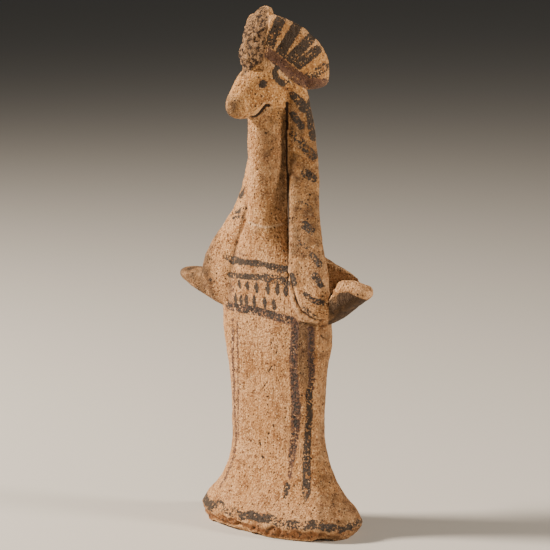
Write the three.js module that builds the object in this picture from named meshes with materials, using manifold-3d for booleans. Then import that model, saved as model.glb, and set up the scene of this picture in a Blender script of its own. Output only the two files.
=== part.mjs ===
// A hand-modelled terracotta idol of a standing woman, fired as one piece of clay: a flat gown that
// flares to a foot, two short winglike arms, a long round neck with a lock of hair hanging free on
// each side of it, a face pinched into a beak, and a tall headdress that leans back. The curled clay
// strip that once stood on the front of the headdress is lost, and its rough stump is left.
// Millimetres. +Z is up, the figure faces -Y, and +X is its left. The origin is under the middle of
// the foot.
import * as THREE from 'three';
import { mergeVertices } from 'three/addons/utils/BufferGeometryUtils.js';
import Module from 'manifold-3d';

// Driving sizes of the gown and the neck
const FOOT_WIDTH = 90;
const FOOT_DEPTH = 49;
const FOOT_EDGE = 6; // height of the rounded edge of the foot
const FOOT_TURN = -2; // degrees
const WAIST_WIDTH = 50.5;
const WAIST_DEPTH = 19.5;
const WAIST_LEVEL = 52;
const HIP_WIDTH = 60;
const HIP_DEPTH = 22;
const HIP_LEVEL = 94;
const CHEST_WIDTH = 44;
const CHEST_DEPTH = 21;
const CHEST_LEVEL = 120;
const NECK_THICKNESS = 17.2;
const NECK_FOOT_LEVEL = 141;
const NECK_TOP_LEVEL = 206;
const FORWARD_LEAN = 8; // how far the neck stands in front of the foot's middle
const SIDE_LEAN = -2; // and how far to the figure's right

// Driving sizes of the arms
const ARM_REACH = 56.6; // from the middle to the tip of each arm
const ARM_TIP_LEVEL = 114;
const LEFT_TIP_RAISE = 1.3; // how much higher the tip of the figure's left arm is
const ARM_HEIGHT = 30; // at the shoulder
const ARM_DEPTH = 17;
const LEFT_ARM_RISE = 5.3; // and how much thicker that arm is
const HOLLOW_LENGTH = 35; // of the hollow pressed into the top of each arm
const HOLLOW_WIDTH = 12.8;
const HOLLOW_DEPTH = 10.5;

// Driving sizes of the head. Levels in the head and the headdress are taken from the top of the neck.
const HEAD_TURN = THREE.MathUtils.degToRad(8); // towards the figure's right
const BEAK_REACH = 23.2; // from the neck's axis to the beak's tip
const BEAK_DROP = 10; // of the beak's tip
const FACE_HEIGHT = 23.8;
const SKULL_WIDTH = 24;
const SKULL_DEPTH = 26;
const SKULL_HEIGHT = 28;

// Driving sizes of the headdress
const CROWN_WIDTH = 39;
const CROWN_LENGTH = 41;
const CROWN_FRONT = 12.5; // from the neck's axis to the point of its front
const CROWN_HEIGHT = 31.5;
const DISH_DEPTH = 7;
const STUMP_WIDTH = 12.6; // the broken strip on the front
const STUMP_DEPTH = 12;
const STUMP_HEIGHT = 34;

// Driving sizes of the locks of hair
const LOCK_WIDTH = 13;
const LOCK_END_WIDTH = 19;
const LOCK_THICKNESS = 8.4;
const LOCK_RISE = 3; // of its upper end above the top of the neck
const LOCK_FALL = 14.5; // of its lower end below the tips of the arms
const RIGHT_LOCK_RAISE = 4; // how much higher the figure's right lock ends
const RIGHT_LOCK_TUCK = 2.8; // and how much further back

const wasm = await Module();
wasm.setup();

// A closed skin through a row of sections. Each section is an oval of half-sizes a and b along its
// directions u and v, squarer as its power rises, and broader towards +u as it flares. u x v points
// along the row.
function skin(sections, segments) {
  const positions = [];
  const faces = [];
  for (const { at, u, v, a, b, power, flare = 0 } of sections) {
    for (let i = 0; i < segments; i++) {
      const angle = (2 * Math.PI * i) / segments;
      const c = Math.cos(angle);
      const s = Math.sin(angle);
      const x = a * Math.sign(c) * Math.abs(c) ** (2 / power);
      const y = b * Math.sign(s) * Math.abs(s) ** (2 / power) * (1 + flare * c);
      positions.push(...at.clone().addScaledVector(u, x).addScaledVector(v, y));
    }
  }
  for (let k = 0; k + 1 < sections.length; k++) {
    for (let i = 0; i < segments; i++) {
      const j = (i + 1) % segments;
      const low = k * segments;
      const high = low + segments;
      faces.push(low + i, low + j, high + j, low + i, high + j, high + i);
    }
  }
  const first = positions.length / 3;
  const top = (sections.length - 1) * segments;
  positions.push(...sections[0].at, ...sections[sections.length - 1].at);
  for (let i = 0; i < segments; i++) {
    const j = (i + 1) % segments;
    faces.push(first, j, i, first + 1, top + i, top + j);
  }
  return new THREE.BufferGeometry()
    .setAttribute('position', new THREE.Float32BufferAttribute(positions, 3))
    .setIndex(faces);
}

// Values between the rows of a table: the first number of each row is where the rest of it holds.
function table(rows) {
  const places = rows.map((row) => row[0]);
  const values = rows.flatMap((row) => row.slice(1));
  const width = rows[0].length - 1;
  const curve = new THREE.CubicInterpolant(places, values, width, new Float64Array(width));
  return (place) => Array.from(curve.evaluate(place));
}

function steps(from, to, count) {
  return Array.from({ length: count + 1 }, (_, i) => from + ((to - from) * i) / count);
}

function solid(geometry) {
  const merged = mergeVertices(geometry, 1e-4);
  return new wasm.Manifold(
    new wasm.Mesh({
      numProp: 3,
      vertProperties: merged.getAttribute('position').array,
      triVerts: new Uint32Array(merged.index.array),
    }),
  );
}

function ball(x, y, z) {
  const sphere = new THREE.SphereGeometry(1, 24, 14);
  sphere.deleteAttribute('normal');
  sphere.deleteAttribute('uv');
  return sphere.scale(x, y, z);
}

const X = new THREE.Vector3(1, 0, 0);
const Y = new THREE.Vector3(0, 1, 0);
const Z = new THREE.Vector3(0, 0, 1);

// The gown, the chest and the neck: level ovals on one leaning axis.
function gownAndNeck() {
  const lean = -FORWARD_LEAN;
  const neck = NECK_THICKNESS / 2;
  const at = table([
    // level, half width, half depth, axis x, axis y, power, turn in degrees
    [0, FOOT_WIDTH / 2 - 3.5, FOOT_DEPTH / 2 - 2, -1, -0.5, 2.1, FOOT_TURN],
    [FOOT_EDGE, FOOT_WIDTH / 2, FOOT_DEPTH / 2, 0, 0, 2.1, FOOT_TURN],
    [WAIST_LEVEL * 0.365, FOOT_WIDTH * 0.372, FOOT_DEPTH * 0.32, 0.3, -0.5, 2.4, FOOT_TURN / 2],
    [WAIST_LEVEL * 0.62, WAIST_WIDTH * 0.53, WAIST_DEPTH * 0.56, 0, -1, 2.7, 0],
    [WAIST_LEVEL, WAIST_WIDTH / 2, WAIST_DEPTH / 2, -0.5, -1.5, 2.8, 0],
    [(WAIST_LEVEL + HIP_LEVEL) / 2, WAIST_WIDTH * 0.53, WAIST_DEPTH * 0.52, -0.5, -2, 2.8, 0],
    [HIP_LEVEL, HIP_WIDTH / 2, HIP_DEPTH / 2, -0.4, -2.5, 2.6, 0],
    [CHEST_LEVEL, CHEST_WIDTH / 2, CHEST_DEPTH / 2, SIDE_LEAN * 0.5, lean * 0.7, 2.3, 0],
    [(CHEST_LEVEL + NECK_FOOT_LEVEL) / 2, CHEST_WIDTH * 0.36, CHEST_DEPTH * 0.47, SIDE_LEAN, lean * 0.9, 2.1, 0],
    [NECK_FOOT_LEVEL, neck * 1.1, neck * 1.06, SIDE_LEAN, lean, 2, 0],
    [NECK_FOOT_LEVEL * 0.79 + NECK_TOP_LEVEL * 0.21, neck, neck, SIDE_LEAN, lean, 2, 0],
    [NECK_TOP_LEVEL, neck, neck, SIDE_LEAN, lean, 2, 0],
  ]);
  const levels = [
    ...steps(0, FOOT_EDGE, 3),
    ...steps(FOOT_EDGE, NECK_FOOT_LEVEL, 25).slice(1),
    ...steps(NECK_FOOT_LEVEL, NECK_TOP_LEVEL, 6).slice(1),
  ];
  return skin(
    levels.map((level) => {
      const [a, b, x, y, power, turn] = at(level);
      const angle = THREE.MathUtils.degToRad(turn);
      const u = new THREE.Vector3(Math.cos(angle), Math.sin(angle), 0);
      const v = new THREE.Vector3(-u.y, u.x, 0);
      return { at: new THREE.Vector3(x, y, level), u, v, a, b, power };
    }),
    40,
  );
}

// An arm: a stub that narrows to a blunt tip, with a long hollow pressed into its top by a thumb, so
// that a thin ridge stands behind the hollow and a pad in front of it. The left hollow is deep, and
// its pad is rounded off towards the chest; the right one is a dent.
function arm(side) {
  const rise = side > 0 ? LEFT_ARM_RISE : 0;
  const tip = side > 0 ? ARM_TIP_LEVEL + LEFT_TIP_RAISE : ARM_TIP_LEVEL;
  const at = table([
    // share of the reach, fall and rise from the tip's level as shares of the height, and what the
    // left arm adds to each: a share of the height, a share of its rise; y, half depth
    [0.1, 0.76, 0.5, 0.04, 0, -3, ARM_DEPTH * 0.55],
    [0.42, 0.52, 0.333, 0.09, 0.66, -2.2, ARM_DEPTH * 0.52],
    [0.53, 0.44, 0.217, 0.14, 0.88, -2.8, ARM_DEPTH * 0.51],
    [0.65, 0.35, 0.133, 0.135, 0.95, -3.6, ARM_DEPTH / 2],
    [0.78, 0.25, 0.1, 0.06, 0.76, -4.2, ARM_DEPTH * 0.46],
    [0.88, 0.165, 0.093, 0.02, 0.45, -4.7, ARM_DEPTH * 0.38],
    [0.95, 0.1, 0.073, 0, 0.1, -4.9, ARM_DEPTH * 0.27],
    [0.985, 0.067, 0.033, 0, 0, -5, ARM_DEPTH * 0.14],
    [1, 0.027, 0.007, 0, 0, -5, ARM_DEPTH * 0.03],
  ]);
  const body = solid(
    skin(
      [...steps(0.1, 0.42, 3), ...steps(0.5, 0.92, 7), 0.955, 0.985, 1].map((share) => {
        const [fall, lift, sag, extra, y, depth] = at(share);
        const low = tip - (side > 0 ? fall + sag : fall) * ARM_HEIGHT;
        const high = tip + lift * ARM_HEIGHT + extra * rise;
        const half = (high - low) / 2;
        return {
          at: new THREE.Vector3(side * share * ARM_REACH, y, (low + high) / 2),
          u: side > 0 ? Y : Z,
          v: side > 0 ? Z : Y,
          a: side > 0 ? depth : half,
          b: side > 0 ? half : depth,
          power: 2.7,
        };
      }),
      20,
    ),
  );
  const size = side > 0 ? 1 : 0.62;
  const thumb = ball((HOLLOW_LENGTH / 2) * size, (HOLLOW_WIDTH / 2) * size, HOLLOW_DEPTH * size)
    .rotateY(THREE.MathUtils.degToRad(-18) * side)
    .rotateZ(THREE.MathUtils.degToRad(22) * side)
    .translate(
      side * ARM_REACH * 0.645,
      -ARM_DEPTH * 0.36 * size,
      tip - 2 + rise * 0.5 + (1 - size) * ARM_HEIGHT * 0.2,
    );
  if (side < 0) return body.subtract(solid(thumb));
  const rounding = ball(HOLLOW_LENGTH * 0.27, ARM_DEPTH * 0.6, HOLLOW_DEPTH * 1.1).translate(
    ARM_REACH * 0.59,
    -ARM_DEPTH * 0.72,
    tip + rise * 2,
  );
  return body.subtract(solid(thumb)).subtract(solid(rounding));
}

// Puts a geometry of the head, made about the neck's axis and facing -Y, in its turned place.
function turned(geometry) {
  return geometry.rotateZ(-HEAD_TURN).translate(SIDE_LEAN, -FORWARD_LEAN, 0);
}

// The face: cheeks pinched together into a beak that points forward and down.
function face() {
  const tip = NECK_TOP_LEVEL - BEAK_DROP;
  const at = table([
    // share of the reach, level of the middle, share of the skull's width, share of the height
    [-0.2, NECK_TOP_LEVEL - BEAK_DROP * 0.45, 0.48, 0.485],
    [0.2, NECK_TOP_LEVEL - BEAK_DROP * 0.43, 0.46, 0.5],
    [0.5, NECK_TOP_LEVEL - BEAK_DROP * 0.52, 0.34, 0.45],
    [0.7, NECK_TOP_LEVEL - BEAK_DROP * 0.72, 0.25, 0.362],
    [0.84, NECK_TOP_LEVEL - BEAK_DROP * 0.9, 0.19, 0.256],
    [0.95, NECK_TOP_LEVEL - BEAK_DROP * 0.98, 0.115, 0.142],
    [0.99, tip, 0.05, 0.067],
    [1, tip, 0.017, 0.017],
  ]);
  return skin(
    [...steps(-0.2, 0.88, 11), 0.92, 0.955, 0.98, 0.99, 1].map((share) => {
      const [level, width, height] = at(share);
      return {
        at: new THREE.Vector3(0, -share * BEAK_REACH, level),
        u: X,
        v: Z,
        a: width * SKULL_WIDTH,
        b: height * FACE_HEIGHT,
        power: 2.6,
      };
    }),
    24,
  );
}

// The head behind the face: flat at the temples, and sunk into the headdress.
function skull() {
  const at = table([
    // share of the height, shares of the width and the depth, how far back as a share of the depth
    [0, 0.33, 0.31, 0.02],
    [0.22, 0.44, 0.41, 0.06],
    [0.46, 0.5, 0.48, 0.1],
    [0.7, 0.49, 0.46, 0.1],
    [0.84, 0.43, 0.44, 0.07],
    [1, 0.3, 0.3, 0],
  ]);
  return skin(
    steps(0, 1, 8).map((share) => {
      const [width, depth, back] = at(share);
      return {
        at: new THREE.Vector3(0, back * SKULL_DEPTH, NECK_TOP_LEVEL + SKULL_HEIGHT * (share - 0.57)),
        u: X,
        v: Y,
        a: width * SKULL_WIDTH,
        b: depth * SKULL_DEPTH,
        power: 2.6,
      };
    }),
    20,
  );
}

// The headdress: pointed at the front where the strip was, widest behind the ears, and leaning
// back, so that its lower edge and its rim both slope down behind.
function crown() {
  const at = table([
    // share of the length, share of the half width, shares of the height of the lower edge and rim
    [0, 0.08, 0.4, 0.6],
    [0.05, 0.2, 0.37, 0.7],
    [0.16, 0.365, 0.327, 0.91],
    [0.25, 0.52, 0.26, 0.98],
    [0.305, 0.63, 0.206, 0.965],
    [0.44, 0.84, 0.089, 0.876],
    [0.573, 0.96, -0.032, 0.762],
    [0.695, 1, -0.115, 0.622],
    [0.805, 0.94, -0.128, 0.46],
    [0.89, 0.8, -0.112, 0.302],
    [0.956, 0.57, -0.08, 0.152],
    [0.988, 0.33, -0.07, 0.079],
    [1, 0.15, -0.038, 0.048],
  ]);
  return skin(
    [0, ...steps(0.05, 0.956, 13), 0.978, 0.993, 1].map((share) => {
      const [width, low, high] = at(share);
      const y = share * CROWN_LENGTH - CROWN_FRONT;
      return {
        at: new THREE.Vector3(0, y, NECK_TOP_LEVEL + (CROWN_HEIGHT * (low + high)) / 2),
        u: Z,
        v: X,
        a: (CROWN_HEIGHT * (high - low)) / 2,
        b: (CROWN_WIDTH * width) / 2,
        power: 4.4,
        flare: 0.08,
      };
    }),
    28,
  );
}

// The hollow in the top of the headdress.
function dish() {
  return ball(CROWN_WIDTH * 0.38, CROWN_LENGTH * 0.415, DISH_DEPTH)
    .rotateX(THREE.MathUtils.degToRad(-36))
    .translate(0, CROWN_LENGTH * 0.6 - CROWN_FRONT, NECK_TOP_LEVEL + CROWN_HEIGHT * 0.762);
}

// What is left of the strip: a blunt ridge up the front of the headdress, broken off all along.
function stump() {
  const at = table([
    // share of the height, share of the way to the headdress's front, shares of width and depth
    [0, 0.5, 0.2, 0.42],
    [0.176, 0.6, 0.33, 0.46],
    [0.26, 0.64, 0.42, 0.48],
    [0.324, 0.68, 0.48, 0.5],
    [0.47, 0.56, 0.5, 0.5],
    [0.647, 0.416, 0.49, 0.5],
    [0.824, 0.232, 0.44, 0.417],
    [0.94, 0.104, 0.33, 0.317],
    [0.988, 0.048, 0.2, 0.183],
    [1, 0.032, 0.08, 0.083],
  ]);
  return skin(
    [...steps(0, 0.94, 11), 0.97, 0.988, 1].map((share) => {
      const [forward, width, depth] = at(share);
      return {
        at: new THREE.Vector3(0, -forward * CROWN_FRONT, NECK_TOP_LEVEL + share * STUMP_HEIGHT),
        u: X,
        v: Y,
        a: width * STUMP_WIDTH,
        b: depth * STUMP_DEPTH,
        power: 2.3,
      };
    }),
    16,
  );
}

// A lock of hair: a strap of clay from behind the ear to the front of the shoulder, broader at its
// end. It is pressed on at both ends, and hangs clear of the neck between them.
function lock(side) {
  const tucked = side > 0 ? 0 : RIGHT_LOCK_TUCK;
  const raised = side > 0 ? 0 : RIGHT_LOCK_RAISE;
  const top = new THREE.Vector3(SKULL_WIDTH * 0.454, -FORWARD_LEAN * 0.325, NECK_TOP_LEVEL + LOCK_RISE);
  const end = new THREE.Vector3(
    CHEST_WIDTH * 0.636,
    -FORWARD_LEAN * 0.7 - CHEST_DEPTH / 3 + tucked,
    ARM_TIP_LEVEL - LOCK_FALL + raised,
  );
  const path = new THREE.CatmullRomCurve3(
    [
      // shares of the way down, outwards on the left and on the right, and forwards
      [0, 0, 0, 0],
      [0.1, 0.068, 0.023, -0.115],
      [0.237, 0.112, 0.058, -0.27],
      [0.393, 0.216, 0.105, -0.22],
      [0.566, 0.45, 0.25, 0.27],
      [0.685, 0.708, 0.515, 0.64],
      [0.767, 0.883, 0.784, 0.87],
      [0.858, 1, 0.98, 1],
      [0.94, 1, 0.97, 0.98],
      [1, 0.942, 0.88, 0.87],
    ].map(
      ([down, leftOut, rightOut, forward]) =>
        new THREE.Vector3(
          SIDE_LEAN * 0.5 + side * THREE.MathUtils.lerp(top.x, end.x, side > 0 ? leftOut : rightOut),
          THREE.MathUtils.lerp(top.y, end.y, forward),
          THREE.MathUtils.lerp(top.z, end.z, down),
        ),
    ),
  );
  const at = table([
    // share of the length, half width, half thickness, turns of the left and the right strap's faces
    [0, LOCK_WIDTH * 0.24, 2.4, 60, 60],
    [0.06, LOCK_WIDTH * 0.36, LOCK_THICKNESS * 0.47, 60, 60],
    [0.13, LOCK_WIDTH * 0.41, LOCK_THICKNESS / 2, 58, 58],
    [0.22, LOCK_WIDTH * 0.485, LOCK_THICKNESS / 2, 55, 54],
    [0.35, LOCK_WIDTH * 0.53, LOCK_THICKNESS / 2, 52, 48],
    [0.5, LOCK_WIDTH * 0.55, LOCK_THICKNESS / 2, 48, 38],
    [0.7, LOCK_END_WIDTH * 0.42, LOCK_THICKNESS / 2, 30, 10],
    [0.84, LOCK_END_WIDTH * 0.5, LOCK_THICKNESS / 2, 18, 0],
    [0.94, LOCK_END_WIDTH * 0.44, LOCK_THICKNESS * 0.42, 12, -2],
    [1, LOCK_END_WIDTH * 0.2, 2, 10, -2],
  ]);
  return skin(
    [0, 0.03, ...steps(0.06, 0.94, 16), 0.975, 1].map((share) => {
      const [a, b, leftTurn, rightTurn] = at(share);
      const along = path.getTangentAt(share);
      const angle = THREE.MathUtils.degToRad(side > 0 ? leftTurn : -rightTurn);
      const u = new THREE.Vector3(Math.cos(angle), Math.sin(angle), 0);
      u.addScaledVector(along, -u.dot(along)).normalize();
      const v = new THREE.Vector3().crossVectors(along, u);
      return { at: path.getPointAt(share), u, v, a, b, power: 3.2 };
    }),
    16,
  );
}

// The lower half of the left lock is wiped on to the side of the neck: a thin seam of clay deep in
// the slit between the two.
function seam() {
  return skin(
    [-0.06, 0.18, 0.38, 0.44].map((share, row) => ({
      at: new THREE.Vector3(
        SIDE_LEAN + NECK_THICKNESS * 0.5,
        -FORWARD_LEAN + NECK_THICKNESS * 0.27,
        THREE.MathUtils.lerp(NECK_FOOT_LEVEL, NECK_TOP_LEVEL, share),
      ),
      u: X,
      v: Y,
      a: NECK_THICKNESS * (row < 3 ? 0.14 : 0.06),
      b: NECK_THICKNESS * (row < 3 ? 0.14 : 0.06),
      power: 2,
    })),
    6,
  );
}

const pieces = [
  solid(gownAndNeck()),
  solid(seam()),
  arm(1),
  arm(-1),
  solid(turned(face())),
  solid(turned(skull())),
  solid(turned(crown())).subtract(solid(turned(dish()))),
  solid(turned(stump())),
  solid(lock(1)),
  solid(lock(-1)),
];
const figure = pieces.reduce((whole, piece) => whole.add(piece));

const skinMesh = figure.getMesh();
const idol = new THREE.Mesh(
  new THREE.BufferGeometry()
    .setAttribute('position', new THREE.BufferAttribute(skinMesh.vertProperties, 3))
    .setIndex(new THREE.BufferAttribute(skinMesh.triVerts, 1)),
  new THREE.MeshStandardMaterial({ color: 0xb98a62, roughness: 0.85, metalness: 0 }),
);
idol.name = 'idol';

const part = new THREE.Group();
part.add(idol);
export default part;
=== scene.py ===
import math

import bpy
import numpy as np
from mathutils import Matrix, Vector, kdtree


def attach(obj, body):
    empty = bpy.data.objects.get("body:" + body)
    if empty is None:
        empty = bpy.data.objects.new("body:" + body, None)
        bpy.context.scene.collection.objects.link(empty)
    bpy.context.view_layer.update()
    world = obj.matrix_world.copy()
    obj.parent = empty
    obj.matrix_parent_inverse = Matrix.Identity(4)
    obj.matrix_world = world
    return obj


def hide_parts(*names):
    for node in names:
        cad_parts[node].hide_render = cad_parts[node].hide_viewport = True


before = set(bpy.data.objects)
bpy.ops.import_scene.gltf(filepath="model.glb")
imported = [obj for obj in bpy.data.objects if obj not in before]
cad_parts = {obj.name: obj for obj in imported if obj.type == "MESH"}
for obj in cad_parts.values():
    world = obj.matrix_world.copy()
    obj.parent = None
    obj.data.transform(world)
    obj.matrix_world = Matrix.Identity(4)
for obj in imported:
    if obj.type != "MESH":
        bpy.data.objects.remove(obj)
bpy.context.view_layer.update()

# The camera stands in front of the figure and to its left, and looks slightly down at its middle from
# far enough away to show almost no perspective. It is a real camera with a long lens.
camera_turn = math.radians(40)
camera_rise = math.radians(9)
camera_distance = 1.1
aim = Vector((0, -0.0043, 0.1176))
toward_camera = Vector(
    (
        math.sin(camera_turn) * math.cos(camera_rise),
        -math.cos(camera_turn) * math.cos(camera_rise),
        math.sin(camera_rise),
    )
)
lens = bpy.data.cameras.new("long_lens")
lens.sensor_width = 36
lens.lens = 157.7
lens.clip_start = 0.05
camera = bpy.data.objects.new("camera", lens)
camera.location = aim + toward_camera * camera_distance
camera.rotation_euler = (-toward_camera).to_track_quat("-Z", "Y").to_euler()
bpy.context.collection.objects.link(camera)
bpy.context.scene.camera = camera


# The idol is one piece of coarse brown clay, pressed and wiped into shape by hand and fired. Its
# fine surface is made here: seams smeared together, finger dents, wiping marks, pits where grit fell
# out, the torn break on the front of the headdress, and the worn edge of the foot.
# Sizes in this section are millimetres, in the frame of the solid. The step of the skin is about the
# finest that keeps it under 200,000 triangles.
surface_step = 0.745
clay = bpy.data.objects.new("idol_clay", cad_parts["idol"].data.copy())
bpy.context.collection.objects.link(clay)
skin = clay.modifiers.new("fine_skin", "REMESH")
skin.mode = "VOXEL"
skin.voxel_size = surface_step / 1000
skin.use_smooth_shade = True
skinned = clay.evaluated_get(bpy.context.evaluated_depsgraph_get())
fine_mesh = bpy.data.meshes.new_from_object(skinned)
clay.modifiers.clear()
clay.data = fine_mesh
clay.data.materials.clear()
fine_mesh.name = "idol_clay"

point_count = len(fine_mesh.vertices)
spots = np.empty(point_count * 3)
fine_mesh.vertices.foreach_get("co", spots)
spots = spots.reshape(-1, 3) * 1000
links = np.empty(len(fine_mesh.edges) * 2, dtype=np.int64)
fine_mesh.edges.foreach_get("vertices", links)
links = links.reshape(-1, 2)
link_counts = np.bincount(links.ravel(), minlength=point_count)


def smear(values, rounds, strength=0.5):
    """Draws every point towards its neighbours, as a wet thumb does."""
    for _ in range(rounds):
        around = np.empty_like(values)
        for axis in range(values.shape[1]):
            column = values[:, axis]
            around[:, axis] = np.bincount(links[:, 0], column[links[:, 1]], point_count)
            around[:, axis] += np.bincount(links[:, 1], column[links[:, 0]], point_count)
        values = values + (around / link_counts[:, None] - values) * strength
    return values


def set_spots():
    """Puts the points back in the mesh and returns the direction that each one faces."""
    fine_mesh.vertices.foreach_set("co", (spots / 1000).ravel())
    fine_mesh.update()
    facing = np.empty(point_count * 3)
    fine_mesh.vertex_normals.foreach_get("vector", facing)
    return facing.reshape(-1, 3)


def lumps(points, size, seed):
    """Smooth random heights from about -1 to 1, each about size millimetres across."""
    cells_between_seeds = 31.7
    scatter = (73856093, 19349663, 83492791)
    stir = 1274126177
    full_height = 1.6
    place = points / size + cells_between_seeds * seed
    cell = np.floor(place).astype(np.int64)
    part = place - cell
    ease = part * part * part * (part * (part * 6 - 15) + 10)
    total = np.zeros(len(points))
    for corner in range(8):
        step = np.array([corner & 1, corner >> 1 & 1, corner >> 2 & 1])
        at = cell + step
        mixed = at[:, 0] * scatter[0] ^ at[:, 1] * scatter[1] ^ at[:, 2] * scatter[2]
        mixed = (mixed ^ mixed >> 13) * stir & 0x7FFFFFFF
        away = part - step
        slopes = [(mixed >> shift & 255) / 127.5 - 1 for shift in (4, 12, 20)]
        weight = np.prod(np.where(step == 1, ease, 1 - ease), axis=1)
        total += weight * sum(slope * away[:, axis] for axis, slope in enumerate(slopes))
    return total * full_height


def fade(values, start, end):
    """0 at start and 1 at end, with soft ends."""
    share = np.clip((values - start) / (end - start), 0, 1)
    return share * share * (3 - 2 * share)


# a distance that no stroke reaches
far_off = 50.0


def stroke(across, up, path, width, end_width=None):
    """Distance from a brush stroke along path, points of (across, up), width millimetres wide."""
    end_width = width if end_width is None else end_width
    closest = np.full(len(across), far_off)
    lengths = [math.dist(a, b) for a, b in zip(path, path[1:])]
    done = 0
    for (a, b), length in zip(zip(path, path[1:]), lengths):
        run = np.array(b, dtype=float) - a
        share = np.clip(((across - a[0]) * run[0] + (up - a[1]) * run[1]) / (run @ run), 0, 1)
        gap = np.hypot(across - a[0] - share * run[0], up - a[1] - share * run[1])
        along = (done + share * length) / sum(lengths)
        closest = np.minimum(closest, gap - (width + (end_width - width) * along) / 2)
        done += length
    return closest


def only(distance, where):
    """Keeps a stroke to the part of the surface that it lies on."""
    return np.where(where, distance, far_off)


def turned_to(turn):
    """How squarely each place faces someone who stands turned this far from the front."""
    return facing[:, 0] * math.sin(turn) - facing[:, 1] * math.cos(turn)


# seams first lose their sharpness, least where the locks, arms and headdress keep crisp edges
softly = smear(spots, 9)
barely = smear(spots, 2)
crisp = np.maximum(fade(spots[:, 2], 192, 200), 0.5)
crisp = (crisp * fade(np.abs(spots[:, 0]), 34, 30))[:, None]
spots = barely * crisp + softly * (1 - crisp)
facing = set_spots()

# Directions that the marks are laid out in: across the figure as it looks when turned by mark_turn to
# show its left side, the same for its right side, and the head's own across and back, as the head is
# turned a little to its right. The slant is across and back together, the same on both sides.
mark_turn = math.radians(40)
head_turn = math.radians(8)
neck_axis = np.array([-2.0, -8.0])
level = spots[:, 2]
near_across = spots[:, 0] * math.cos(mark_turn) + spots[:, 1] * math.sin(mark_turn)
far_across = (neck_axis[0] - spots[:, 0]) * math.cos(mark_turn) + spots[:, 1] * math.sin(mark_turn)
from_neck = spots[:, :2] - neck_axis
head_across = from_neck @ np.array([math.cos(head_turn), -math.sin(head_turn)])
head_back = from_neck @ np.array([math.sin(head_turn), math.cos(head_turn)])
slant_turn = mark_turn + head_turn
head_slant = math.cos(slant_turn) * np.abs(head_across) + math.sin(slant_turn) * head_back

# the torn scar where the strip of clay came off, from the top of the headdress down to the brow
scar_levels = [209, 212.4, 215.5, 218, 222.6, 227.5, 231, 234, 237.4, 240]
scar_edge = np.interp(level, scar_levels, [-14, -11.5, -8.2, -6.8, -6.6, -6.3, -5.9, -5.1, -2.4, -1])
scar = np.maximum(np.abs(head_across) - 7.6, head_back - scar_edge)
scar = np.maximum(scar, 209.5 - level)
torn = fade(scar + lumps(spots, 2.6, 3) * 0.7, 0.5, -0.5)

# the figure's surface: slow hand dents, wiping marks down the gown and neck, and coarse grit
rise = lumps(spots, 17, 1) * 0.36 + lumps(spots, 7, 2) * 0.2
rise += (lumps(spots, 2.9, 4) * 0.13 + lumps(spots, 1.7, 5) * 0.12) * (1 - torn)
wiped = fade(level, 112, 96) * fade(level, 8, 18)
rise += wiped * lumps(spots * [1, 1, 0.07], 1.7, 6) * 0.11
rise += fade(level, 140, 150) * fade(level, 200, 190) * lumps(spots * [1, 1, 0.06], 2.2, 7) * 0.1
crumbs = np.abs(lumps(spots * [1, 1, 0.6], 3.0, 8)) * 0.6
crumbs += lumps(spots, 1.9, 9) * 0.4 + lumps(spots, 1.5, 10) * 0.5
rise += torn * (crumbs * fade(level, 241, 229) - 0.4)
# the joint round the foot of the neck, a shallow step smeared over
joint = fade(level, 142.6, 141.2) * fade(level, 134, 141) * fade(np.abs(from_neck[:, 0]), 14, 10)
rise += 0.25 * joint
# the edge of the foot has worn to crumbs, most at its lower rim
rim_wear_and_shade = fade(level + lumps(spots, 5.5, 17) * 2.6, 8, 1.5) * fade(facing[:, 2], -0.9, -0.3)
rise -= rim_wear_and_shade * (0.45 + 0.8 * np.abs(lumps(spots, 4.2, 12)) + 0.8 * lumps(spots, 2.0, 13))
bites = fade(lumps(spots * [1, 1, 0.5], 8.5, 15), 0.28, 0.6)
rise -= rim_wear_and_shade * bites * 2.1
# and small chips have come off its under edge, the largest at the front
foot_spots = spots[level < 3]
foot_half = (foot_spots.max(axis=0) - foot_spots.min(axis=0)) / 2
foot_middle = (foot_spots.max(axis=0) + foot_spots.min(axis=0)) / 2
outward = (spots - foot_middle) / foot_half
chipped = fade(np.hypot(outward[:, 0], outward[:, 1]), 0.84, 0.97) * fade(level, 7, 0)
chips = np.clip(lumps(spots * [1, 1, 0.3], 8, 20) * 2.2 + 0.1, 0, 1.3)
largest = 2.0 * fade(np.hypot(spots[:, 0] + 5, (level - 1) * 1.5), 8, 3)
largest *= (facing[:, 1] < 0.4) & (spots[:, 1] < 0)
chip_lift = chipped * np.maximum(chips, largest)

# creases and scratches: where the chin meets the neck, and cuts in the gown
chin = [(-7, 190.3), (-4.7, 191), (-2.8, 192.4), (-1, 194.7), (0.4, 196.1), (1.5, 195.8)]
chin = only(stroke(head_slant, level, chin, 0.9), level < 199)
cuts = [
    ([(6.2, 90.4), (7.2, 86), (8.1, 82.2)], 0.25),
    ([(2.4, 74), (4.9, 77.1)], 0.45),
    ([(-1.5, 65.9), (1.6, 69.2)], 0.2),
    ([(-2, 34), (-1, 33.2)], 0.9),
    ([(-3.6, 40), (-3.2, 39)], 0.8),
]
crack = stroke(near_across, level, [(17.8, 93.4), (18.9, 92), (20.3, 91.4)], 0.3)
cut = only(crack, spots[:, 0] > 15)
for path, width in cuts:
    scratch = stroke(spots[:, 0], level, path, width)
    cut = np.minimum(cut, only(scratch, facing[:, 1] < 0.3))
# the pressed edge of the near lock's end stands clear of the chest
tongue = [(3.8, 121), (5.1, 114.1), (6.7, 109.1), (9.2, 104.7), (13.1, 102.2), (18, 100.7)]
tongue = stroke(near_across, level, tongue, 0.9, 0.3)
tongue = only(tongue, (facing[:, 1] < 0.2) & (spots[:, 0] > 4))
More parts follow.
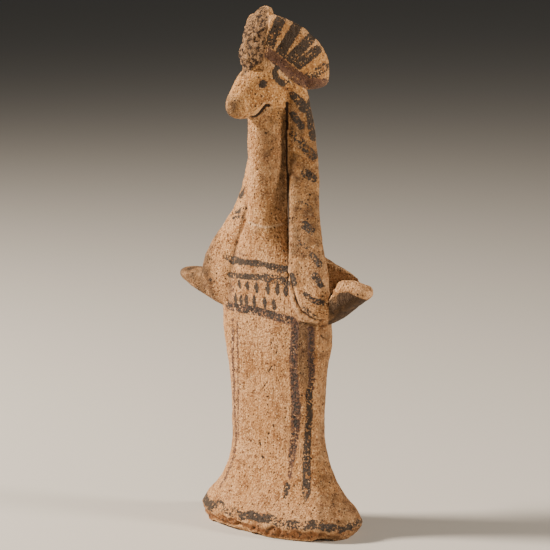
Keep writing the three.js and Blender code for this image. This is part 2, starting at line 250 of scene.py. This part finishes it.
# the chin's crease is deep only on the figure's left
chin_depth = np.where(head_across > 0, 1, 0.4)
rise -= chin_depth * fade(chin, 0.9, -0.1) + 0.35 * fade(cut, 0.8, -0.1)
rise -= 0.8 * fade(tongue, 1.0, -0.2)

# the bridge of the beak is pressed flat, and the slit beside the near lock is packed with soil
rise -= 0.9 * np.exp(-((head_back + 21) ** 2 + (level - 206.5) ** 2) / 26)
slit = stroke(near_across, level, [(2.5, 184), (2.7, 178), (2.8, 166)], 0.6)
facing_near = turned_to(mark_turn)
rise += 0.75 * fade(slit, 1.4, 0.2) * (spots[:, 1] > -9) * (facing_near < 0.6)

# pits where grit and roots were
pit_count = 300
grit = kdtree.KDTree(point_count)
for number, spot in enumerate(spots):
    grit.insert(spot, number)
grit.balance()
seeded = np.random.default_rng(11)
for number in seeded.integers(0, point_count, pit_count):
    reach = 0.8 + 0.7 * seeded.random() ** 3
    depth = reach * (0.15 + 0.25 * seeded.random())
    for _, near, gap in grit.find_range(spots[number], reach):
        rise[near] -= depth * (1 - (gap / reach) ** 2)

spots = spots + facing * rise[:, None]
spots[:, 2] += chip_lift
spots[:, 2] = np.maximum(spots[:, 2], 0.0)
facing = set_spots()
level = spots[:, 2]
facing_near = turned_to(mark_turn)
# how far each place lies below what is round it, close by and over a fingertip's width
hollow = np.einsum("ij,ij->i", smear(spots, 6) - spots, facing)
wide_hollow = np.einsum("ij,ij->i", smear(spots, 45) - spots, facing)

# The paint is thin clay slip that fired brown-black or purple-brown, laid on with a soft brush in
# single strokes. A coat keeps the distance from the edge of its strokes, below zero inside, so that
# its worn edge can be drawn finer than the mesh, and how far each place of it has worn away.
black = np.array([[far_off, 0.0]] * point_count)
purple = black.copy()


def lay(coat, distance, where, worn):
    """Lays a stroke on the surface that it was painted on."""
    closer = where & (distance < coat[:, 0])
    coat[closer, 0] = distance[closer]
    coat[closer, 1] = worn


def paint(strokes, across, where):
    """Lays strokes in turn, each a coat, a path, its first and last width, and its wear."""
    for coat, path, width, end_width, worn in strokes:
        lay(coat, stroke(across, level, path, width, end_width), where, worn)


# stripes down the gown: two to the figure's left, and a fine pair to its right
outer_top = [(13.4, 96), (13.5, 92), (13.9, 78.7), (13.8, 70.4), (12.5, 64.8)]
outer_low = [(12.7, 67), (12.9, 55.6), (12.0, 46.3), (11.6, 37.1), (11.6, 27.8), (11.5, 21.4)]
inner_top = [(6.2, 98), (5.8, 89.8), (5.5, 78.7), (6.1, 68.5), (7.0, 60.2)]
inner_low = [(7.0, 60.2), (6.6, 51), (5.7, 41.7), (4.7, 35)]
broad_stripes = [
    (purple, outer_top, 3.4, 2.8, 0.2),
    (black, outer_top, 1.6, 1.8, 0.42),
    (black, outer_low, 3.0, 4.0, 0.15),
    (black, [(11.5, 22), (11.0, 17.2)], 3.8, 1.2, 0.3),
    (purple, inner_top, 3.4, 4.3, 0.05),
    (black, inner_top, 2.4, 3.4, 0.42),
    (black, inner_low, 3.4, 2.4, 0.45),
    (purple, inner_low, 4.5, 3.4, 0.12),
    (purple, [(4.7, 35), (3.9, 27)], 2.4, 2.0, 0.2),
    (black, [(2.9, 23), (2.0, 18.6)], 2.8, 2.0, 0.2),
]
gown_left = (level < 100) & (facing_near > 0) & (spots[:, 0] > 4)
paint(broad_stripes, near_across, gown_left)
fine_left = [(-18.5, 95.7), (-19.6, 81.4), (-20.9, 57.3), (-19.5, 38.5), (-20.6, 29), (-25.3, 16.4)]
fine_right = [(-15.6, 95.2), (-15.9, 81.9), (-17.5, 57.9), (-17.8, 38.8)]
fine_stripes = [(purple, fine_left, 2.2, 1.9, 0.25), (purple, fine_right, 1.4, 1.3, 0.3)]
gown_right = (level < 97) & (facing[:, 1] < 0.2) & (spots[:, 0] < 0)
paint(fine_stripes, spots[:, 0], gown_right)
# two plain stripes down the back
gown_back = (level < 118) & (facing[:, 1] > 0.2)
for first in (-14, 13):
    back_line = [(first, 117), (first * 0.92, 60), (first * 1.15, 17)]
    paint([(black, back_line, 3.4, 2.8, 0.45)], spots[:, 0], gown_back)

# the breast ornament: two bands, two staggered rows of dashes, and a smeared lower band
chest = (facing[:, 1] < 0) & (level > 97) & (level < 130) & (near_across < 11.4)
chest_strokes = [
    (black, [(-17.8, 123.6), (-14.5, 124.2), (-10.5, 123.9)], 4.2, 3.4, 0.05),
    (black, [(-12, 123.9), (-0.9, 124.4), (7.7, 123.6), (16, 122.6)], 3.0, 3.3, 0.02),
    (black, [(-10, 122.2), (3, 122.6), (14, 121)], 0.8, 0.8, 0.5),
    (purple, [(-17.6, 126.2), (-15, 127.4), (-9, 127.8), (-4.5, 126.4)], 0.8, 0.5, 0.3),
    (black, [(-20, 116.6), (-8.4, 117.5), (2, 117.9), (9.6, 117.1), (18.5, 117.2)], 2.8, 3.1, 0.14),
    (black, [(-0.2, 119.9), (7.6, 119.4), (16, 118.6)], 1.1, 1.6, 0.3),
    (black, [(-22.4, 102.4), (-13, 101.9), (-3.6, 102), (5.2, 101.2), (16, 99.9)], 4.2, 3.6, 0.34),
    (purple, [(-20, 102), (-3.6, 102), (5.2, 101), (17, 99.4)], 4.0, 4.6, 0.1),
    (purple, [(-18.6, 115), (-18.7, 109), (-20.3, 104)], 1.3, 1.8, 0.6),
    (purple, [(-16.4, 114.7), (-17.4, 108.6), (-17.6, 103.6)], 0.9, 1.1, 0.5),
]
paint(chest_strokes, spots[:, 0], chest)
dashes = [(-12.4, 114.9), (-7.1, 114.8), (-1.6, 114.9), (5.1, 115.2), (10.5, 115.3), (14.7, 115.2)]
dashes += [(-15.6, 108.0), (-11.9, 107.9), (-8.4, 108.2), (-3.6, 108.4), (2.8, 108.5), (8.1, 108.2)]
for number, (place, top) in enumerate(dashes):
    short = 3.0 if number < 2 else 4.1
    waist = (place - 0.25, top - short / 2)
    foot_of_dash = (place - 0.15, top - short)
    upper = (black, [(place, top), waist], 1.6, 3.0, -0.1)
    lower = (black, [waist, foot_of_dash], 3.0, 1.8, -0.1)
    paint([upper, lower], spots[:, 0], chest)

# a broken band round the edge of the foot
foot_half_width = 44
foot_half_depth = 24
round_foot = np.arctan2(spots[:, 0] / foot_half_width, -spots[:, 1] / foot_half_depth)
foot_side = (level < 16) & (facing[:, 2] > -0.35)
hem_turns = [-180, -70, -20, 20, 50, 80, 180]
hem_level = np.interp(np.degrees(round_foot), hem_turns, [8, 8.2, 8.4, 8, 7.4, 6, 8])
hem_level = hem_level + 0.7 * np.sin(round_foot * 9) + 0.5 * np.sin(round_foot * 23 + 1)
hem_breaks = 0.12 + 0.36 * fade(lumps(spots, 6.5, 14), -0.05, 0.35)
patch = stroke(near_across, level, [(-37, 10.2), (-33.4, 7)], 3.4, 4.2)
patch = only(patch, facing_near > 0)
hem_breaks = np.where(patch < 0.4, 0.0, hem_breaks)
hem = np.minimum(np.abs(level - hem_level) - 2.0, patch)
lay(black, hem, foot_side, 0.0)
black[:, 1] = np.where(level < 14, hem_breaks, black[:, 1])

# slanting dabs down each lock, one below the other, and worn specks at its lower end
near_lock = (facing_near > 0.1) & (level > 96) & (level < 207) & (near_across > 3.1)
near_lock &= spots[:, 0] > 8.2
# the other lock has the same run of dabs, a little finer, except at its lower end
other_lock = (turned_to(-mark_turn) > 0.1) & (level > 157) & (level < 207) & (spots[:, 0] < -9.5)
near_dabs = [
    ([(5.2, 200.6), (7.8, 198.0), (10.2, 195.0)], 3.0, 4.8, 0.15),
    ([(5.2, 191.8), (6.8, 189.8), (9.0, 186.6)], 2.8, 3.0, 0.1),
    ([(8.8, 188.4), (9.8, 186)], 1.2, 0.7, 0.3),
    ([(12.8, 198), (13.0, 191.6), (13.8, 186.6), (15, 182)], 1.8, 4.6, 0.1),
    ([(5.3, 182.8), (8.4, 179.8), (12.0, 175.4), (14.6, 173.4)], 2.8, 4.2, 0.4),
    ([(11.0, 165.6), (14.4, 163.2)], 3.8, 3.2, 0.3),
    ([(8.2, 154), (10, 152.8), (12.4, 151), (14, 148.6)], 1.9, 1.3, 0.6),
    ([(10.6, 143), (13.6, 140.6)], 3.6, 3.0, 0.35),
    ([(7.6, 135.4), (12, 133.6)], 2.3, 1.8, 0.5),
    ([(13.8, 130.2), (15.4, 128.4), (17.2, 126.4)], 2.2, 2.6, 0.25),
    ([(4.9, 121), (6.2, 117.6)], 2.8, 2.2, 0.1),
    ([(15.2, 121.4), (17.6, 117.6)], 3.4, 2.6, 0.15),
    ([(10.9, 113.2), (13.2, 111.2), (16.4, 110.0)], 2.3, 2.4, 0.25),
    ([(17.6, 110.4), (19.4, 109.2)], 2.3, 1.8, 0.3),
    ([(9.6, 106.4), (12.4, 104.4), (15.4, 102.6)], 2.6, 2.2, 0.3),
]
for path, width, end_width, worn in near_dabs:
    paint([(black, path, width + 0.3, end_width + 0.3, worn - 0.05)], near_across, near_lock)
    path = [(place - 0.4, up - 3.4) for place, up in path]
    paint([(black, path, width, end_width, worn)], far_across, other_lock)
far_lock = (facing_near > 0) & (level > 96) & (level < 162) & (spots[:, 0] < -14.6)
far_dabs = [
    (black, [(-15.4, 157.4), (-17, 155), (-18.8, 152.4)], 2.4, 1.7, 0.0),
    (black, [(-17.2, 148), (-19, 146.4), (-20.8, 145.2)], 1.7, 1.4, 0.1),
    (black, [(-18.0, 145.6), (-19.4, 144), (-21.8, 142.6)], 1.8, 1.3, 0.1),
    (black, [(-26.4, 126.2), (-24.6, 124.6), (-22.6, 124.4)], 2.6, 2.2, 0.5),
    (black, [(-32.4, 113.4), (-32.6, 112.8)], 1.5, 1.2, 0.3),
]
paint(far_dabs, near_across, far_lock)

# the headdress: a purple-brown band along its lower edge, and black stripes fanning up to its rim
side_facing = facing[:, 0] * math.cos(head_turn) - facing[:, 1] * math.sin(head_turn)
side_facing = side_facing * np.sign(head_across)
on_crown = (level > 198) & (scar > 0.2) & (side_facing > 0.2)
band = [(-1.4, 220.6), (2.6, 218.3), (6.3, 215.0), (10.5, 211.2)]
band += [(14.9, 207.8), (19.6, 205.4), (25.5, 204.4)]
paint([(purple, band, 4.6, 6.4, 0.02)], head_slant, on_crown)
band_top = [(-1.4, 223.4), (3.07, 220.8), (7.5, 217.3), (12.3, 213.6)]
band_top += [(16.5, 210.3), (21, 206.6), (30, 199)]
above_band = level - np.interp(head_slant, *zip(*band_top))
stripes = [
    ([(1.0, 222), (6.4, 234.4)], 4.6, 4.6, 0.12),
    ([(5.5, 218), (14, 232)], 4.7, 4.7, -0.1),
    ([(10.2, 216), (19.6, 225.8)], 4.7, 4.6, 0.0),
    ([(14.2, 214), (22.8, 220.4)], 4.5, 4.4, 0.1),
    ([(18.2, 208.2), (26.3, 212.6)], 4.0, 4.0, 0.32),
]
for path, width, end_width, worn in stripes:
    bar = np.maximum(stroke(head_slant, level, path, width, end_width), 0.2 - above_band)
    lay(black, bar - 0.15, on_crown, worn)
behind = (level > 198) & (head_back > 14) & (np.abs(side_facing) <= 0.75) & (facing[:, 1] > 0.2)
for place in (-12, -6, 0, 6, 12):
    paint([(black, [(place * 0.9, 208), (place, 224)], 3.4, 3.4, 0.4)], head_across, behind)

# the face: a dab for each eye, and a curl of hair painted in front of each ear
on_face = (level < 216) & (level > 196) & (scar > 0.3) & (np.abs(head_across) > 3)
eye = [(-1.7, 205.6), (-1.2, 206.1)]
curl = [(4.6, 212.9), (3.7, 211), (4.3, 208.8), (5.8, 206.9), (7.4, 205.7)]
curl_end = [(7.4, 205.7), (9.7, 206.6), (11.3, 208.4)]
paint([(black, eye, 3.4, 3.5, -0.1)], head_slant, on_face & (head_back < -3))
paint([(black, curl, 2.6, 3.0, -0.2), (black, curl_end, 2.4, 1.5, 0.3)], head_slant, on_face)

# fine dark lines of painted shade: in the chin crease, the cuts, under the lock's pressed edge and in the
# slits beside the neck
far_fold = [(-16, 149), (-19, 137), (-21.8, 125), (-23.2, 116), (-23.9, 104)]
far_fold = stroke(near_across, level, far_fold, 0.4)
near_slit = [(2.6, 197), (2.8, 185), (3.0, 170), (3.2, 160), (3.3, 148), (3.2, 134), (3.1, 124)]
near_slit = stroke(near_across, level, near_slit, 1.0)
near_line = near_slit + fade(level, 166, 130) * 0.35
far_line = far_fold + 0.15 + fade(level, 126, 108) * 0.7
crease_shade_lines = [
    only(chin - 0.1, head_across > 0),
    cut,
    tongue + 0.3 * lumps(spots, 2.6, 21) + 0.1,
    only(near_line, (facing_near > -0.3) & (level > 122)),
    only(far_line, (facing_near > 0) & (level < 150)),
]
crease_shade = np.minimum.reduce(crease_shade_lines)

# darker in the wide hollows; painted shade in the slits beside the locks, under the chin, and across the
# gown where it turns from the light
neck_side = (spots[:, 0] > 0) & (near_across < 3) & (level > 125) & (level < 195)
# darker in the wide hollows, less so down the neck's side
wide_hollow_dark = fade(wide_hollow, 0.7, 2.4) * 0.5 * (1 - 0.8 * neck_side)
# painted shade along the fold between the far lock and the chest
far_fold_shade = fade(far_fold, 1.5, 0.2) * (facing_near > 0) * 0.6
# painted shade in the slit between the near lock and the neck
near_slit_shade = fade(near_slit, 1.6, 0.0) * (facing_near > -0.3) * 0.5
# painted shade on the gown's left side, which turns from the light
side_shade = fade(near_across, 14, 18) * (level < 98) * (facing_near > 0) * 0.58
# painted shade across the gown's front, deepening towards the figure's left, away from the light
gown_shade = fade(near_across, -16, 4) * fade(level, 30, 50) * fade(level, 112, 100)
gown_shade *= (facing_near > 0) * 0.34
neck = fade(level, 138, 162) * (level < 195) * (np.hypot(from_neck[:, 0], from_neck[:, 1]) < 12)
# painted shadow on the neck under the chin
chin_shadow = stroke(near_across, level, [(-6.5, 189), (-4.5, 187), (-3.5, 180)], 8.0, 2.0)
chin_shadow = fade(chin_shadow, 4, -3) * neck * 0.6
shades_and_hollows = [wide_hollow_dark, far_fold_shade, near_slit_shade, side_shade, gown_shade, chin_shadow]
hand = (spots[:, 0] > 31) & (level > 100) & (level < 124)
soil_and_shade = np.maximum.reduce(shades_and_hollows) * (1 - 0.75 * hand)

# painted shade on the front of the near hand's pad and down the neck's side turned from the light, and
# dark stains on the far arm, the near lock and the beak's tip
# painted shade on the pad's front face, below its lit rim
pad_across = [21.2, 23.5, 26.1, 29.7, 34, 39.2]
pad_top = np.interp(near_across, pad_across, [110.6, 113.2, 115, 115.7, 113.7, 111])
pad_shade = fade(near_across, 20.4, 21.6) * fade(level - pad_top, 0.8, -0.6) * (level > 98)
pad_shade *= fade(facing_near, 0, 0.2) * 1.25
arm_stain = fade(spots[:, 0], -24, -34) * (level > 95) * 0.8
lock_stain = fade(near_across, 2.6, 4.2) * fade(level, 104, 135) * fade(level, 206, 196)
lock_stain *= (spots[:, 0] > 7) * 0.64
# painted shade down the neck's side turned from the light
neck_shade = neck * fade(near_across, -13, -8) * fade(near_across, 3, 1) * (facing_near > 0) * 0.6
beak_tip = fade(np.hypot(head_back + 25, (level - 195) * 0.9), 10, 4) * 0.72
soil_and_shade = np.maximum.reduce([soil_and_shade, pad_shade, arm_stain, lock_stain, neck_shade, beak_tip])
soil_and_shade *= 0.8 + 0.4 * lumps(spots, 3.4, 16)
# a brown stain between the gown's broad stripes, and specks in the worn rim of the foot
stain = stroke(near_across, level, [(10.6, 99), (10.6, 84), (10.8, 66)], 12, 7)
stain = fade(stain, 2.2, -2.8) * gown_left * fade(level, 58, 74)
stain *= 0.7 + 0.12 * lumps(spots * [1, 1, 0.4], 3.0, 19)
rim_specks = rim_wear_and_shade * fade(lumps(spots, 1.8, 18), 0.0, 0.45) * 0.9
soil_and_shade = np.maximum.reduce([soil_and_shade, stain, rim_specks])

# pale lines: a painted highlight along the step below the headdress band, and the joint at the foot of
# the neck
seam_highlight = stroke(head_slant, level, [(1.6, 215.6), (5.4, 212.0), (9.0, 207.9), (11.7, 205.2)], 0.5)
pale_and_highlight = fade(only(seam_highlight, on_face), 0.6, -0.3) * 0.55
joint_line = stroke(near_across, level, [(-14.4, 142.6), (-7, 141), (0.2, 142.2)], 0.6)
pale_and_highlight = np.maximum(pale_and_highlight, fade(only(joint_line, facing_near > 0), 0.7, -0.2) * 0.7)

# how ochre the clay is: most on the head and down the locks, least on the gown
down_locks = fade(level, 110, 185) * fade(np.abs(spots[:, 0] + 1), 8, 12) * 0.8
ochre = np.maximum(fade(level, 172, 200), down_locks)

# what the clay's finish reads from the surface
readings = {
    "black_slip": np.clip(black[:, 0], -4, 4),
    "black_worn": black[:, 1],
    "purple_slip": np.clip(purple[:, 0], -4, 4),
    "purple_worn": purple[:, 1],
    "soil_and_shade": soil_and_shade,
    "crease_shade": np.clip(crease_shade, -2, 2),
    "pale_and_highlight": pale_and_highlight,
    "ochre": ochre,
    "hollow": hollow,
    "torn": torn,
    "rim_wear_and_shade": rim_wear_and_shade,
}
for name, values in readings.items():
    kept = fine_mesh.attributes.new(name, "FLOAT", "POINT")
    kept.data.foreach_set("value", values.astype(np.float32))


def linear(colour):
    """An sRGB hex colour as the four linear numbers that a shader takes."""
    channels = [int(colour[i : i + 2], 16) / 255 for i in (1, 3, 5)]
    return tuple(c / 12.92 if c <= 0.04045 else ((c + 0.055) / 1.055) ** 2.4 for c in channels) + (1,)


# Low-fired terracotta: porous, dull and rough with grit, golden brown where it is clean, darker in its
# hollows, and with painted shade laid into its slits, folds and the sides turned from the light. The slip
# is a little smoother, and has flaked in small grains.
terracotta = bpy.data.materials.new("fired_clay")
terracotta.use_nodes = True
terracotta.node_tree.nodes.clear()


def add(material, kind, settings):
    """Adds a node. Each setting is one of its properties, or the value or feed of one of its sockets."""
    node = material.node_tree.nodes.new("ShaderNode" + kind)
    for name, value in settings.items():
        if isinstance(name, str) and hasattr(node, name):
            setattr(node, name, value)
        elif isinstance(value, bpy.types.Node):
            feed = next(output for output in value.outputs if output.enabled)
            material.node_tree.links.new(feed, node.inputs[name])
        elif isinstance(value, bpy.types.NodeSocket):
            material.node_tree.links.new(value, node.inputs[name])
        else:
            node.inputs[name].default_value = value
    return node


object_place = add(terracotta, "TexCoord", {}).outputs["Object"]
drawn_down = add(terracotta, "Mapping", {"Scale": (1, 1, 0.12), "Vector": object_place})
# Noise of each real size, in millimetres: blotches of firing, thumb-sized mottle, temper grains, sand,
# streaks that run down, the grains that slip flakes off in and the spots it wears off in. The real
# sand is finer than the render shows, so it is drawn 0.8 mm across.
noises = {}
for name, size, detail, roughness, place in (
    ("patches", 18, 3, 0.5, object_place),
    ("mottle", 8, 5, 0.65, object_place),
    ("temper", 2.4, 4, 0.7, object_place),
    ("sand", 0.8, 2, 0.6, object_place),
    ("streaks", 1.6, 3, 0.6, drawn_down),
    ("flake", 1.0, 2, 0.6, object_place),
    ("wear_spots", 3.6, 3, 0.6, object_place),
):
    settings = {"Scale": 1000 / size, "Detail": detail, "Roughness": roughness, "Vector": place}
    noises[name] = add(terracotta, "TexNoise", settings)
surface = {}
for name in readings:
    surface[name] = add(terracotta, "Attribute", {"attribute_name": name}).outputs["Fac"]
# pits of burnt-out straw and grit: more than half of the 1.7 mm cells hold one, up to 1 mm across
pit_cells = add(terracotta, "TexVoronoi", {"Scale": 1000 / 1.7, "Vector": object_place})
pit_choice = add(terracotta, "SeparateColor", {"Color": pit_cells.outputs["Color"]})
settings = {"Value": pit_choice, "From Min": 0.42, "From Max": 1.0, "To Max": 0.28}
pit_size = add(terracotta, "MapRange", settings)
settings = {"operation": "SUBTRACT", 0: pit_size, 1: pit_cells.outputs["Distance"]}
pit_depth = add(terracotta, "Math", settings)
# worn places, coarse and fine together, that both coats of slip lose their grains in
settings = {"operation": "MULTIPLY_ADD", 0: noises["wear_spots"], 1: 0.55, 2: noises["flake"]}
wear = add(terracotta, "Math", settings)
# dark pores and cracks that only the torn face shows, their darkness partly painted shade in its relief
settings = {"Scale": 1000 / 1.9, "Detail": 4, "Roughness": 0.7, "Vector": object_place}
fracture = add(terracotta, "TexNoise", settings)
fracture = add(terracotta, "Math", {"operation": "MULTIPLY", 0: fracture, 1: surface["torn"]})

# each layer of colour covers the one below where its feed runs from the first number to the second
colour = linear("#bb8856")
painted = None
layers = (
    (surface["ochre"], 0, 1, 0.85, "#bd8748"),
    (noises["patches"], 0.4, 0.68, 0.5, "#c99a6f"),
    (noises["patches"], 0.5, 0.3, 0.4, "#a87849"),
    (noises["mottle"], 0.5, 0.64, 0.7, "#8c5d33"),
    (noises["mottle"], 0.46, 0.3, 0.5, "#dbaa76"),
    (noises["streaks"], 0.54, 0.7, 0.5, "#84552d"),
    (noises["streaks"], 0.45, 0.3, 0.5, "#dcab79"),
    (noises["temper"], 0.54, 0.66, 0.75, "#70442a"),
    (noises["temper"], 0.42, 0.3, 0.5, "#e3b482"),
    (noises["sand"], 0.54, 0.67, 0.88, "#5a3720"),
    (noises["sand"], 0.43, 0.3, 0.75, "#efc796"),
    (surface["hollow"], 0.03, 0.22, 0.7, "#5a3b24"),
    (surface["hollow"], -0.03, -0.2, 0.5, "#e0b384"),
    # the worn rim of the foot, its darker brown partly painted shade
    (surface["rim_wear_and_shade"], 0.15, 0.8, 0.8, "#84532e"),
    (surface["torn"], 0.2, 0.8, 0.7, "#8a6c50"),
    # dark pores on the torn face, partly painted shade
    (fracture, 0.46, 0.56, 0.94, "#30231a"),
    # real soil and stains, together with painted shade in the slits, folds, under the chin and on sides
    # turned from the light
    (surface["soil_and_shade"], 0.05, 1, 0.93, "#35271a"),
    # pale lines, the one below the headdress band a painted highlight
    (surface["pale_and_highlight"], 0, 1, 1.0, "#d8b48c"),
    # painted shade: dark lines in the creases, cuts and slits
    (surface["crease_shade"], 0.35, -0.1, 0.96, "#20160e"),
    (pit_depth, -0.03, 0.06, 0.85, "#382416"),
    ("purple", 0.0, 1.0, 0.86, "#4d332c"),
    ("black", 0.0, 1.0, 0.95, "#2f2822"),
)
for feed, start, full, cover, tint in layers:
    if feed in ("purple", "black"):
        # a coat ends at the ragged edge of its strokes, and inside them it has lost grains by its wear
        slip = surface[feed + "_slip"]
        worn = surface[feed + "_worn"]
        edge = add(terracotta, "Math", {"operation": "MULTIPLY_ADD", 0: noises["flake"], 1: 1.6, 2: slip})
        edge = add(terracotta, "MapRange", {"Value": edge, "From Min": 1.0, "From Max": 0.5})
        loss = add(terracotta, "Math", {"operation": "MULTIPLY_ADD", 0: worn, 1: 0.42, 2: wear})
        loss = add(terracotta, "MapRange", {"Value": loss, "From Min": 1.0, "From Max": 0.88})
        feed = add(terracotta, "Math", {"operation": "MULTIPLY", 0: edge, 1: loss})
        if painted is None:
            painted = feed
        else:
            painted = add(terracotta, "Math", {"operation": "MAXIMUM", 0: painted, 1: feed})
    settings = {"Value": feed, "From Min": start, "From Max": full, "To Max": cover}
    share = add(terracotta, "MapRange", {"interpolation_type": "SMOOTHSTEP", **settings})
    colour = add(terracotta, "Mix", {"data_type": "RGBA", 0: share, 6: colour, 7: linear(tint)})

# the height of the grain: temper and sand stand up, streaks run between them, pits and cracks go in
settings = {"operation": "MULTIPLY_ADD", 0: noises["sand"], 1: 0.6, 2: noises["temper"]}
heights = add(terracotta, "Math", settings)
settings = {"Value": pit_depth, "From Min": -0.05, "From Max": 0.12, "To Max": -1.0}
pit_bowl = add(terracotta, "MapRange", settings)
heights = add(terracotta, "Math", {"operation": "ADD", 0: heights, 1: pit_bowl})
heights = add(terracotta, "Math", {"operation": "MULTIPLY_ADD", 0: noises["streaks"], 1: 0.5, 2: heights})
heights = add(terracotta, "Math", {"operation": "MULTIPLY_ADD", 0: fracture, 1: -1.6, 2: heights})
bumps = add(terracotta, "Bump", {"Strength": 1.0, "Distance": 0.0013, "Height": heights})
roughness = add(terracotta, "MapRange", {"Value": painted, "To Min": 0.9, "To Max": 0.7})
settings = {"Metallic": 0.0, "IOR": 1.5, "Specular IOR Level": 0.3}
settings.update({"Base Color": colour, "Roughness": roughness, "Normal": bumps})
fired = add(terracotta, "BsdfPrincipled", settings)
add(terracotta, "OutputMaterial", {"Surface": fired})
fine_mesh.materials.append(terracotta)

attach(clay, "root")
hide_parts("idol")

# The floor is a sheet of pale grey studio paper. A soft light stands high in front of the figure and
# to its right, a weaker one shines past it from behind on its left, a faint one fills the shade from
# beside the camera, and the room is dim and even.
half_sheet = 9.0
under_foot = -0.0002
corners = [(-half_sheet, -half_sheet, 0), (half_sheet, -half_sheet, 0)]
corners += [(half_sheet, half_sheet, 0), (-half_sheet, half_sheet, 0)]
paper = bpy.data.meshes.new("floor")
paper.from_pydata(corners, [], [(0, 1, 2, 3)])
floor = bpy.data.objects.new("floor", paper)
floor.location = (0, 0, under_foot)
bpy.context.collection.objects.link(floor)
floor_paper = bpy.data.materials.new("studio_paper")
floor_paper.use_nodes = True
sheet = floor_paper.node_tree.nodes["Principled BSDF"]
sheet.inputs["Base Color"].default_value = linear("#c6c2bb")
sheet.inputs["Roughness"].default_value = 0.9
paper.materials.append(floor_paper)

figure_middle = Vector((0, 0, 0.13))
for name, place, size, power in (
    ("key_light", (-0.90, -0.68, 0.80), 0.28, 52),
    ("fill_light", (0.80, -0.75, 0.32), 0.40, 2.5),
    ("edge_light", (0.95, 0.33, 0.48), 0.22, 12),
):
    lamp = bpy.data.lights.new(name, "AREA")
    lamp.shape = "DISK"
    lamp.size = size
    lamp.energy = power
    lamp.color = linear("#fff1e0")[:3]
    light = bpy.data.objects.new(name, lamp)
    light.location = place
    light.rotation_euler = (figure_middle - Vector(place)).to_track_quat("-Z", "Y").to_euler()
    bpy.context.collection.objects.link(light)
room = bpy.data.worlds.new("room")
room.use_nodes = True
room.node_tree.nodes["Background"].inputs["Color"].default_value = linear("#dcdad6")
room.node_tree.nodes["Background"].inputs["Strength"].default_value = 0.08
bpy.context.scene.world = room
